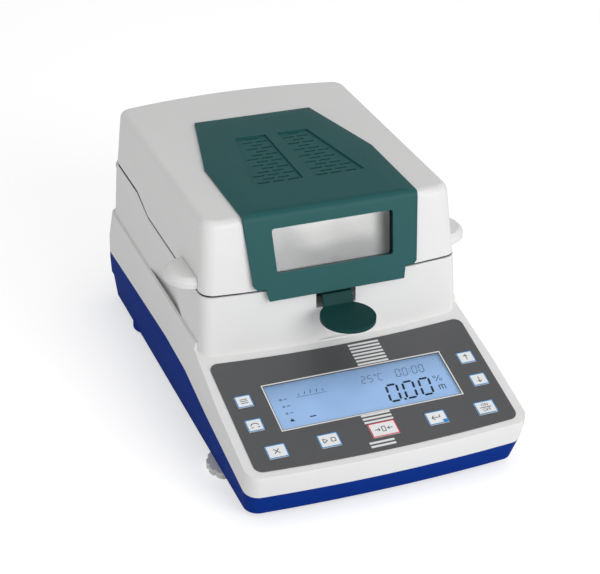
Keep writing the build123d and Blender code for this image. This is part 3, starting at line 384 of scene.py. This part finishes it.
def add_ring(bm, outer, inner, z0, z1):
    """Add a closed ring between two polygons with as many corners each, in millimetres."""
    rows = []
    for points, z in ((outer, z0), (outer, z1), (inner, z1), (inner, z0)):
        rows.append([bm.verts.new((x * MM, y * MM, z * MM)) for x, y in points])
    count = len(outer)
    for a, b in zip(rows, rows[1:] + rows[:1]):
        for i in range(count):
            j = (i + 1) % count
            bm.faces.new((a[i], a[j], b[j], b[i]))


def box_points(x, y, across, along):
    """Corners of a rectangle round a centre."""
    return [
        (x - across / 2, y - along / 2),
        (x + across / 2, y - along / 2),
        (x + across / 2, y + along / 2),
        (x - across / 2, y + along / 2),
    ]


def stroke(a, b, width):
    """Corners of a bar from one point to another."""
    a = Vector(a)
    b = Vector(b)
    side = (b - a).normalized().orthogonal() * (width / 2)
    return [tuple(a - side), tuple(b - side), tuple(b + side), tuple(a + side)]


def soften(node, material, width, segments=3, angle=32.0):
    """Piece with a CAD node's shape and rounded edges, shown in its place."""
    source = frame["nodes"][node]
    bm = bmesh.new()
    bm.from_mesh(source.data)
    bm.transform(source.matrix_world)
    bmesh.ops.remove_doubles(bm, verts=bm.verts, dist=1e-6)
    bmesh.ops.dissolve_limit(bm, angle_limit=radians(0.4), verts=bm.verts, edges=bm.edges)
    limit = radians(angle)
    for face in bm.faces:
        face.smooth = True
    for edge in bm.edges:
        edge.smooth = len(edge.link_faces) == 2 and edge.calc_face_angle() < limit
    slots = {part["node"]: part["material_slot"] for part in frame["record"]["subparts"]}
    obj = place(node + "_soft", bm, material, body_of(source)[0], slot=slots[node])
    bevel = obj.modifiers.new("edges", "BEVEL")
    bevel.limit_method = "ANGLE"
    bevel.angle_limit = limit
    bevel.width = width * MM
    bevel.segments = segments
    bevel.use_clamp_overlap = True
    bevel.harden_normals = False
    normals = obj.modifiers.new("normals", "WEIGHTED_NORMAL")
    normals.keep_sharp = False
    normals.weight = 100
    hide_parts(node)
    return obj


# Display: seven-segment digits and small marks under the pane

SEGMENTS = {
    "0": "abcdef",
    "1": "bc",
    "2": "abged",
    "3": "abgcd",
    "4": "fgbc",
    "5": "afgcd",
    "6": "afgedc",
    "7": "abc",
    "8": "abcdefg",
    "9": "abfgcd",
    "C": "afed",
}
LEAN = 0.12


def add_digit(bm, char, x, y, width, height, bar):
    """Seven-segment character with pointed bars and a slight lean."""
    gap = bar * 0.35
    ends = {
        "a": ((0, 1), (1, 1)),
        "b": ((1, 0.5), (1, 1)),
        "c": ((1, 0), (1, 0.5)),
        "d": ((0, 0), (1, 0)),
        "e": ((0, 0), (0, 0.5)),
        "f": ((0, 0.5), (0, 1)),
        "g": ((0, 0.5), (1, 0.5)),
    }
    for name in SEGMENTS[char]:
        (ax, ay), (bx, by) = ends[name]
        a = Vector((ax * width, ay * height))
        b = Vector((bx * width, by * height))
        along = (b - a).normalized()
        side = Vector((-along.y, along.x)) * (bar / 2)
        a = a + along * gap
        b = b - along * gap
        tip = along * (bar / 2)
        points = (a, a + tip - side, b - tip - side, b, b - tip + side, a + tip + side)
        leaned = [(x + p.x + LEAN * p.y, y + p.y) for p in points]
        add_prism(bm, leaned, 0, PRINT_HIGH)


def add_number(bm, text, x, y, width, height, bar, pitch):
    """Row of seven-segment characters; a point or colon takes little room."""
    for char in text:
        if char == ".":
            add_prism(bm, box_points(x - pitch * 0.13, y, bar, bar), 0, PRINT_HIGH)
        elif char == ":":
            for share in (0.3, 0.7):
                up = height * share
                add_prism(bm, box_points(x + up * LEAN, y + up, bar, bar), 0, PRINT_HIGH)
            x += pitch * 0.4
        else:
            add_digit(bm, char, x, y, width, height, bar)
            x += pitch


def add_circle_ring(bm, x, y, radius, bar, count=16):
    """Small flat ring."""
    turns = [2 * pi * i / count for i in range(count)]
    inside = radius - bar
    outer = [(x + radius * cos(turn), y + radius * sin(turn)) for turn in turns]
    inner = [(x + inside * cos(turn), y + inside * sin(turn)) for turn in turns]
    add_ring(bm, outer, inner, 0, PRINT_HIGH)


def make_display():
    """Lit face of the display with its digits and signs."""
    ink = plastic("display_ink", (0.006, 0.016, 0.05), 0.5, gloss=0.1)
    s_low = up_slope(DISPLAY_FRONT)
    bm = bmesh.new()
    add_number(bm, "0.00", 16.0, s_low + 6.5, 7.6, 14.6, 1.6, 12.2)
    # Percent sign and a small unit mark to the right
    add_circle_ring(bm, 54.2, s_low + 20.4, 1.1, 0.4)
    add_circle_ring(bm, 58.0, s_low + 17.2, 1.1, 0.4)
    add_prism(bm, stroke((54.0, s_low + 16.4), (58.2, s_low + 21.2), 0.5), 0, PRINT_HIGH)
    for x in (54.2, 56.3, 58.4):
        add_prism(bm, stroke((x, s_low + 8.4), (x, s_low + 12.0), 0.6), 0, PRINT_HIGH)
    add_prism(bm, stroke((53.9, s_low + 12.2), (58.7, s_low + 12.2), 0.6), 0, PRINT_HIGH)
    # Sign in front of the number and a few state marks at the left
    add_prism(bm, stroke((-43.0, s_low + 8.0), (-38.6, s_low + 8.0), 0.9), 0, PRINT_HIGH)
    add_prism(bm, [(-57.5, s_low + 7.0), (-54.0, s_low + 7.0), (-55.7, s_low + 9.6)], 0, PRINT_HIGH)
    for row in (0, 1, 2):
        s = s_low + 14.5 + 6.2 * row
        add_circle_ring(bm, -57.2, s, 0.9, 0.4)
        add_prism(bm, stroke((-55.0, s), (-52.6, s), 0.5), 0, PRINT_HIGH)
    place("display_digits", bm, ink, "base", deck_frame(DIGITS_DOWN), "display")
    faint = plastic("display_ink_faint", (0.10, 0.18, 0.36), 0.4)
    bm = bmesh.new()
    add_number(bm, "25", 3.0, s_low + 27.0, 3.0, 6.0, 0.55, 5.0)
    add_circle_ring(bm, 14.2, s_low + 32.4, 0.9, 0.35)
    add_number(bm, "C", 15.6, s_low + 27.0, 3.0, 6.0, 0.55, 5.0)
    add_number(bm, "00:00", 29.0, s_low + 27.0, 3.2, 6.6, 0.6, 5.2)
    s = s_low + 28.0
    for i, height in enumerate((1.2, 2.2, 3.2, 2.6, 1.6)):
        x = -44 + 4.4 * i
        add_prism(bm, stroke((x, s), (x + 1, s + height), 0.7), 0, PRINT_HIGH)
    add_prism(bm, stroke((-46.0, s_low + 26.6), (-24.0, s_low + 26.6), 0.35), 0, PRINT_HIGH)
    place("display_marks", bm, faint, "base", deck_frame(DIGITS_DOWN), "display")


# Printing on the overlay: a fine line round the display and a ladder of bars


def make_printing():
    """Fine white print, a little proud of the overlay."""
    white = plastic("print_white", (0.80, 0.80, 0.80), 0.5, wander=0.01)
    s_low = up_slope(DISPLAY_FRONT)
    s_high = up_slope(DISPLAY_BACK)
    middle = (s_low + s_high) / 2
    bm = bmesh.new()
    outer = box_points(0, middle, 2 * 66.9, s_high - s_low + 2.6)
    inner = box_points(0, middle, 2 * 66.0, s_high - s_low + 0.8)
    add_ring(bm, outer, inner, PRINT_LOW, PRINT_HIGH)
    # Bars across the band, shorter towards the front
    bands = ((-90.0, -70.2, 17.0, 23.0), (-139.5, -133.5, 0.0, 21.0), (-159.5, -154.4, -5.0, 18.0))
    for y0, y1, x, across in bands:
        s = up_slope(y0)
        while s < up_slope(y1):
            add_prism(bm, box_points(x, s, across, 1.7), PRINT_LOW, PRINT_HIGH)
            s += 3.1
    place("overlay_print", bm, white, "base", deck_frame(0.0), "overlay")


# Key caps: white face, coloured rim and a plain sign

KEYS = {
    "menu_key": (-82.5, -101.9, 11.4, 10.4),
    "program_key": (-82.5, -122.9, 11.4, 10.4),
    "escape_key": (-76.0, -147.0, 14.0, 11.2),
    "start_stop_key": (-39.0, -147.0, 14.6, 11.4),
    "tare_key": (0.3, -147.0, 19.6, 12.0),
    "enter_key": (39.5, -147.0, 14.6, 11.2),
    "on_off_key": (76.5, -147.0, 14.6, 11.2),
    "up_key": (83.2, -101.8, 11.8, 10.4),
    "down_key": (83.2, -122.8, 11.8, 10.4),
}


def arrow(x, y, length, turn):
    """Bars of an arrow pointing along a direction in radians."""
    ahead = Vector((cos(turn), sin(turn)))
    side = Vector((-ahead.y, ahead.x))
    middle = Vector((x, y))
    tip = middle + ahead * (length / 2)
    tail = middle - ahead * (length / 2)
    wing = length * 0.32
    return [
        (tail, tip - ahead * 0.1),
        (tip, tip - ahead * wing + side * wing),
        (tip, tip - ahead * wing - side * wing),
    ]


def key_sign(name, x, y):
    """Strokes of a key's sign."""
    if name == "up_key":
        return arrow(x, y, 4.8, pi / 2)
    if name == "down_key":
        return arrow(x, y, 4.8, -pi / 2)
    if name == "menu_key":
        return [((x - 2.6, y + d), (x + 2.6, y + d)) for d in (-1.6, 0, 1.6)]
    if name == "program_key":
        ends = [(x + 3.0 * cos(a), y - 1.2 + 2.8 * sin(a)) for a in (0.35, 0.95, 1.57, 2.2, 2.8)]
        feet = [((x + a, y - 2), (x + b, y - 2)) for a, b in ((-3, -1.4), (1.4, 3))]
        return list(zip(ends, ends[1:])) + feet
    if name == "escape_key":
        return [((x - 1.9, y - 1.9), (x + 1.9, y + 1.9)), ((x - 1.9, y + 1.9), (x + 1.9, y - 1.9))]
    if name == "start_stop_key":
        ends = [(x - 4.2, y - 1.8), (x - 4.2, y + 1.8), (x - 1.2, y)]
        wedge = list(zip(ends, ends[1:] + ends[:1]))
        square = [((x + 1.4, y + d), (x + 4.4, y + d)) for d in (-1.5, 1.5)]
        return wedge + square + [((x + d, y - 1.5), (x + d, y + 1.5)) for d in (1.4, 4.4)]
    if name == "tare_key":
        inwards = arrow(x - 4.6, y, 3.6, 0) + arrow(x + 4.6, y, 3.6, pi)
        uprights = [((x + d, y - 2), (x + d, y + 2)) for d in (-1.2, 1.2)]
        return inwards + uprights + [((x - 1.2, y + d), (x + 1.2, y + d)) for d in (2, -2)]
    if name == "enter_key":
        return arrow(x - 0.6, y, 6.0, pi) + [((x + 2.4, y), (x + 2.4, y + 2.2))]
    return [((x - 4.2, y), (x + 4.2, y))]


def make_keys():
    """Faces of the keys, each riding with its own cap."""
    blue = plastic("key_rim_blue", (0.02, 0.27, 0.62), 0.4)
    red = plastic("key_rim_red", (0.72, 0.02, 0.03), 0.4)
    ink = plastic("key_ink", (0.05, 0.05, 0.055), 0.5)
    for name, (x, y, across, along) in KEYS.items():
        s = up_slope(y)
        outer = box_points(x, s, across - 0.1, along - 0.1)
        inner = box_points(x, s, across - 1.5, along - 1.5)
        bm = bmesh.new()
        add_ring(bm, outer, inner, KEY_LOW, RIM_HIGH)
        if name == "enter_key":
            add_prism(bm, box_points(x + across / 2 - 2.4, s - along / 2 + 1.8, 3.4, 2.6), KEY_LOW, RIM_HIGH)
        place(name + "_rim", bm, red if name == "tare_key" else blue, name, deck_frame(), "key")
        bm = bmesh.new()
        for a, b in key_sign(name, x, s):
            add_prism(bm, stroke(a, b, 0.55), KEY_LOW, SIGN_HIGH)
        place(name + "_sign", bm, ink, name, deck_frame(), "key")
    for word, shift in (("ON", 1.2), ("OFF", -3.4)):
        x, y = KEYS["on_off_key"][:2]
        curve = bpy.data.curves.new("word_" + word, "FONT")
        curve.body = word
        curve.size = 3.4 * MM
        curve.extrude = 0.02 * MM
        curve.align_x = "CENTER"
        curve.materials.append(ink)
        text = bpy.data.objects.new("word_" + word, curve)
        bpy.context.collection.objects.link(text)
        text.matrix_world = deck_frame(0.33) @ Matrix.Translation((x * MM, (up_slope(y) + shift) * MM, 0))
        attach(text, "on_off_key")


# Dark strip on the tower's rim, under the lid: painted shade of the parting gap


def rim_path(inset):
    """Points (x, y, z) of the right half of the rim, moved inwards, in millimetres."""
    radius = (RIM_HALF_W**2 + RIM_BOW**2) / (2 * RIM_BOW)
    centre_y = RIM_FRONT - RIM_BOW + radius
    corner_x = RIM_HALF_W - RIM_CORNER
    corner_y = centre_y - ((radius - RIM_CORNER) ** 2 - corner_x**2) ** 0.5
    turn = atan(corner_x / (centre_y - corner_y))
    first = NOTCH_HALF_W / radius
    points = []
    for i in range(RIM_STEPS + 1):
        angle = first + (turn - first) * i / RIM_STEPS
        reach = radius - inset
        points.append((reach * sin(angle), centre_y - reach * cos(angle), RIM_LINE[0][1]))
    for i in range(1, RIM_STEPS + 1):
        angle = turn + (pi / 2 - turn) * i / RIM_STEPS
        reach = RIM_CORNER - inset
        points.append((corner_x + reach * sin(angle), corner_y - reach * cos(angle), RIM_LINE[0][1]))
    return points + [(RIM_HALF_W - inset, y, z) for y, z in RIM_LINE]


def make_painted_gap_shade():
    """Black strip on each half of the rim, a little proud of it, that paints the shade of the parting gap.
    """
    gap_shade = plastic("painted_gap_shade", (0.02, 0.02, 0.021), 0.7, grain=900.0, bump=0.3, gloss=0.1)
    for side, name in ((-1, "left_painted_gap_shade"), (1, "right_painted_gap_shade")):
        bm = bmesh.new()
        rows = []
        corners = ((SHADE_STRIP_OUT, SHADE_STRIP_DOWN), (SHADE_STRIP_OUT, SHADE_STRIP_UP), (SHADE_STRIP_IN, SHADE_STRIP_UP), (SHADE_STRIP_IN, SHADE_STRIP_DOWN))
        for inset, rise in corners:
            path = [(side * x * MM, y * MM, (z + rise) * MM) for x, y, z in rim_path(inset)]
            rows.append([bm.verts.new(point) for point in path])
        for a, b in zip(rows, rows[1:] + rows[:1]):
            for i in range(len(a) - 1):
                bm.faces.new((a[i], a[i + 1], b[i + 1], b[i]))
        for end in (0, -1):
            bm.faces.new([row[end] for row in rows])
        bmesh.ops.recalc_face_normals(bm, faces=bm.faces)
        # The strip is painted shade of the parting gap, not a rubber part of the object
        place(name, bm, gap_shade, "base", slot="rubber")


SOFTENED = (
    ("upper_housing", LIGHT_SHELL, 0.6),
    ("lid_shell", LIGHT_SHELL, 0.6),
    ("left_grip", LIGHT_SHELL, 1.5),
    ("right_grip", LIGHT_SHELL, 1.5),
    ("base_tray", BLUE_SHELL, 0.8),
    ("heater_cover", TEAL, 0.7),
    ("pan_handler", HANDLER, 0.8),
)
for node, material, width in SOFTENED:
    soften(node, material, width)

make_display()
make_printing()
make_keys()
make_painted_gap_shade()


# Floor, lamps and world


def make_floor():
    """Pale floor that looks white to the camera and keeps the object's shadow."""
    mesh = bpy.data.meshes.new("floor")
    half = 6.0
    corners = [(-half, -half, 0), (half, -half, 0), (half, half, 0), (-half, half, 0)]
    mesh.from_pydata(corners, [], [(0, 1, 2, 3)])
    floor = bpy.data.objects.new("floor", mesh)
    bpy.context.collection.objects.link(floor)
    floor.location.z = -0.0002
    mat, nodes, links, shader = new_material("floor")
    pale = two_tone(nodes, links, noise(nodes, links, 3.0), (0.90, 0.90, 0.90), (0.92, 0.92, 0.92))
    links.new(pale, shader.inputs["Base Color"])
    shader.inputs["Roughness"].default_value = 0.9
    shader.inputs["Specular IOR Level"].default_value = 0.0
    glow = nodes.new("ShaderNodeEmission")
    glow.inputs["Strength"].default_value = 2.66
    seen = nodes.new("ShaderNodeLightPath")
    either = nodes.new("ShaderNodeMath")
    either.operation = "MAXIMUM"
    links.new(seen.outputs["Is Camera Ray"], either.inputs[0])
    links.new(seen.outputs["Is Transmission Ray"], either.inputs[1])
    share = nodes.new("ShaderNodeMath")
    share.operation = "MULTIPLY"
    share.inputs[1].default_value = 0.2
    links.new(either.outputs[0], share.inputs[0])
    mix = nodes.new("ShaderNodeMixShader")
    links.new(share.outputs[0], mix.inputs["Fac"])
    links.new(shader.outputs["BSDF"], mix.inputs[1])
    links.new(glow.outputs["Emission"], mix.inputs[2])
    links.new(mix.outputs["Shader"], nodes["Material Output"].inputs["Surface"])
    mesh.materials.append(mat)


def make_world(diffuse_strength):
    """Even white surroundings: white to the camera, dimmer as a light source."""
    world = bpy.data.worlds.new("studio")
    bpy.context.scene.world = world
    world.use_nodes = True
    nodes = world.node_tree.nodes
    links = world.node_tree.links
    nodes.clear()
    output = nodes.new("ShaderNodeOutputWorld")
    back = nodes.new("ShaderNodeBackground")
    back.inputs["Color"].default_value = (1, 1, 1, 1)
    seen = nodes.new("ShaderNodeLightPath")
    strength = nodes.new("ShaderNodeMapRange")
    strength.inputs["To Min"].default_value = diffuse_strength
    strength.inputs["To Max"].default_value = 1.0
    links.new(seen.outputs["Is Camera Ray"], strength.inputs["Value"])
    links.new(strength.outputs["Result"], back.inputs["Strength"])
    links.new(back.outputs["Background"], output.inputs["Surface"])


def area_lamp(name, place, target, size, watts):
    """Square soft box aimed at a point."""
    data = bpy.data.lights.new(name, "AREA")
    data.size = size
    data.energy = watts
    lamp = bpy.data.objects.new(name, data)
    lamp.location = place
    lamp.rotation_mode = "QUATERNION"
    lamp.rotation_quaternion = (Vector(target) - Vector(place)).to_track_quat("-Z", "Y")
    bpy.context.collection.objects.link(lamp)


def make_camera():
    """Camera at the photograph's viewing angle."""
    yaw = 0.39322
    pitch = 0.52251
    roll = 0.02972
    look = Vector((sin(yaw) * cos(pitch), cos(yaw) * cos(pitch), -sin(pitch)))
    level = Vector((cos(yaw), -sin(yaw), 0))
    above = level.cross(look)
    right = level * cos(roll) + above * sin(roll)
    up = above * cos(roll) - level * sin(roll)
    data = bpy.data.cameras.new("camera")
    data.sensor_width = 36.0
    data.lens = 98.0
    data.clip_start = 0.05
    data.clip_end = 50.0
    camera = bpy.data.objects.new("camera", data)
    turn = Matrix((right, up, -look)).transposed().to_4x4()
    camera.matrix_world = Matrix.Translation((-0.39738, -0.95281, 0.66911)) @ turn
    bpy.context.collection.objects.link(camera)
    bpy.context.scene.camera = camera


make_floor()
make_world(0.496)
area_lamp("front", (0.55, -1.5, 0.75), (0, -0.05, 0.08), 1.1, 15)
area_lamp("above", (0.45, 0.1, 1.9), (0, 0, 0.1), 1.4, 2.5)
area_lamp("left", (-1.7, -0.2, 0.55), (0, 0, 0.06), 0.9, 3.0)
make_camera()
bpy.context.scene.view_settings.view_transform = "Standard"
